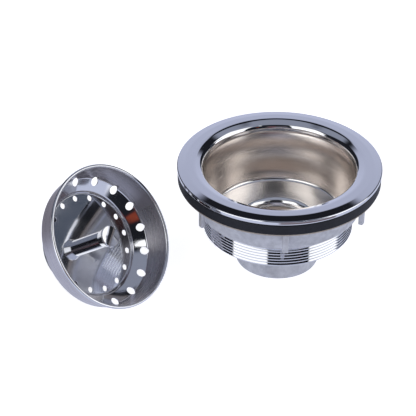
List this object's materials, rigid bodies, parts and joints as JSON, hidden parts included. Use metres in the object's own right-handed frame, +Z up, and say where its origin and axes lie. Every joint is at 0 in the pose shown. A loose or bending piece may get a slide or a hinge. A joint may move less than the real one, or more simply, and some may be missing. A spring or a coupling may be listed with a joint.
{
  "type": "basket strainer waste",
  "caption": "Kitchen sink waste with a polished flange, tapered cup, threaded shank with lock nut and outlet coupling nut, and a perforated lift-out basket with a stopper post.",
  "frame": {"origin": "centre of the outlet at its lower lip, on the surface the waste stands on", "axes": "+Z up the waste's axis, out of its mouth; +X away from the basket, which lies on the -X side"},
  "size_m": [0.1866, 0.1343, 0.0706],
  "materials": {
    "plated_body": "polished flange and thread, satin inside",
    "plated_spud": "bright turned",
    "black_rubber": "matte",
    "fibre": "plain pressed fibre",
    "cast_zinc": "satin die casting",
    "white_washer": "plain",
    "pressed_steel": "brushed band, polished inside",
    "polished_post": "polished",
    "plain_steel": "plain"
  },
  "bodies": {
    "root": {"strainer_body": "plated_body", "outlet_spud": "plated_spud", "basket_bowl": "pressed_steel", "post_knob": "polished_post", "post_stud": "plain_steel", "hub_washer": "plain_steel", "spacer_sleeve": "plain_steel", "backing_washer": "plain_steel", "rubber_stopper": "black_rubber", "keeper_washer": "plain_steel", "stopper_nut": "plain_steel"},
    "clamp_stack": {"rubber_gasket": "black_rubber", "friction_ring": "fibre"},
    "clamp_nut": {"lock_nut": "cast_zinc"},
    "tail_seal": {"tail_washer": "white_washer"},
    "tail_nut": {"coupling_nut": "cast_zinc"}
  },
  "joints": [
    {"name": "clamp_drop", "type": "slide", "parent": "root", "child": "clamp_stack", "axis": [0, 0, -1], "range_m": [0, 0.0127]},
    {"name": "lock_nut_turn", "type": "hinge", "parent": "clamp_stack", "child": "clamp_nut", "pos_m": [0, 0, 0.045], "axis": [0, 0, -1], "range_deg": [0, 2520]},
    {"name": "tail_drop", "type": "slide", "parent": "root", "child": "tail_seal", "axis": [0, 0, -1], "range_m": [0, 0.01089]},
    {"name": "coupling_nut_turn", "type": "hinge", "parent": "tail_seal", "child": "tail_nut", "pos_m": [0, 0, 0.009], "axis": [0, 0, -1], "range_deg": [0, 2160]}
  ],
  "couplings": [
    {"joint": "clamp_drop", "follows": "lock_nut_turn", "m_per_rad": 0.00028871},
    {"joint": "tail_drop", "follows": "coupling_nut_turn", "m_per_rad": 0.00028871}
  ]
}
